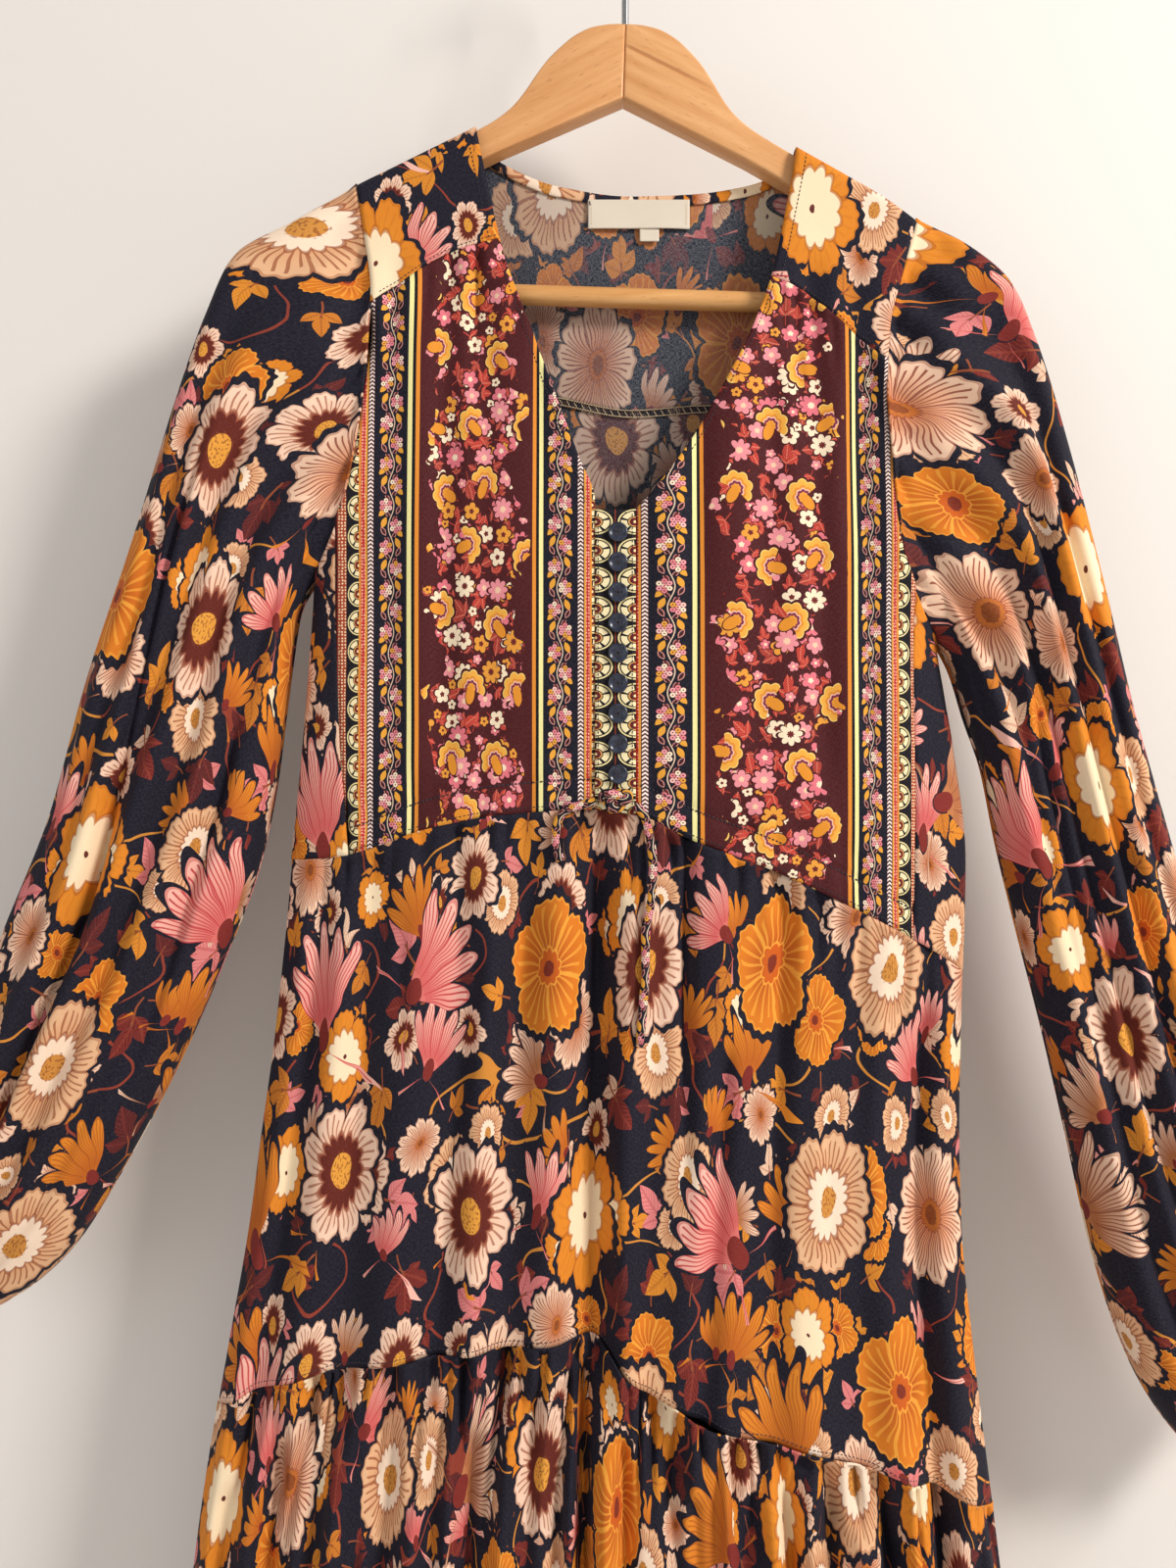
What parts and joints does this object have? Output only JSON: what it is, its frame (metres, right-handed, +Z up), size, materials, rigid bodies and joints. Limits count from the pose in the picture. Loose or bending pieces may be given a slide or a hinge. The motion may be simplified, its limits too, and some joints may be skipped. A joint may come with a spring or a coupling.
{
  "type": "maxi dress on a wooden hanger",
  "caption": "Long-sleeved maxi dress with a V neck, buttoned front, gathered yokes, balloon sleeves, waist tie and tiered skirt, hanging on a wooden hanger.",
  "frame": {"origin": "where the hanger's hook rests on its rail: the inner top of the hook's bend", "axes": "+X to the right as seen from the front, +Y towards the dress's back, +Z up"},
  "size_m": [0.9461, 0.0949, 1.5343],
  "materials": {
    "floral_cloth": "printed viscose crepe, navy ground with large flowers",
    "border_cloth": "printed viscose crepe, burgundy and navy border bands",
    "tie_cloth": "rolled and stitched border cloth",
    "label_cloth": "plain woven tape",
    "button_plastic": "dark navy, polished",
    "beech_wood": "clear satin lacquer",
    "hook_steel": "bright zinc"
  },
  "bodies": {
    "root": {"hanger_arm_left": "beech_wood", "hanger_arm_right": "beech_wood", "hanger_bar": "beech_wood", "hanger_hook": "hook_steel", "front_yoke_left": "floral_cloth", "front_yoke_right": "floral_cloth", "back_yoke": "floral_cloth", "back_neck_binding": "border_cloth", "neck_label": "label_cloth", "size_tab": "label_cloth", "front_print_left": "border_cloth", "front_print_right": "border_cloth", "front_side_left": "floral_cloth", "front_side_right": "floral_cloth", "back_bodice": "floral_cloth", "placket": "border_cloth", "sleeve_front_left": "floral_cloth", "sleeve_back_left": "floral_cloth", "sleeve_front_right": "floral_cloth", "sleeve_back_right": "floral_cloth", "cuff_left": "floral_cloth", "cuff_right": "floral_cloth", "skirt_upper_front": "floral_cloth", "skirt_upper_back": "floral_cloth", "skirt_lower_front": "floral_cloth", "skirt_lower_back": "floral_cloth", "tie_knot": "tie_cloth", "tie_end_left": "tie_cloth", "tie_end_right": "tie_cloth", "button_1": "button_plastic", "button_2": "button_plastic", "button_3": "button_plastic", "button_4": "button_plastic", "button_5": "button_plastic", "button_6": "button_plastic", "button_7": "button_plastic", "button_8": "button_plastic", "button_9": "button_plastic"}
  },
  "joints": []
}
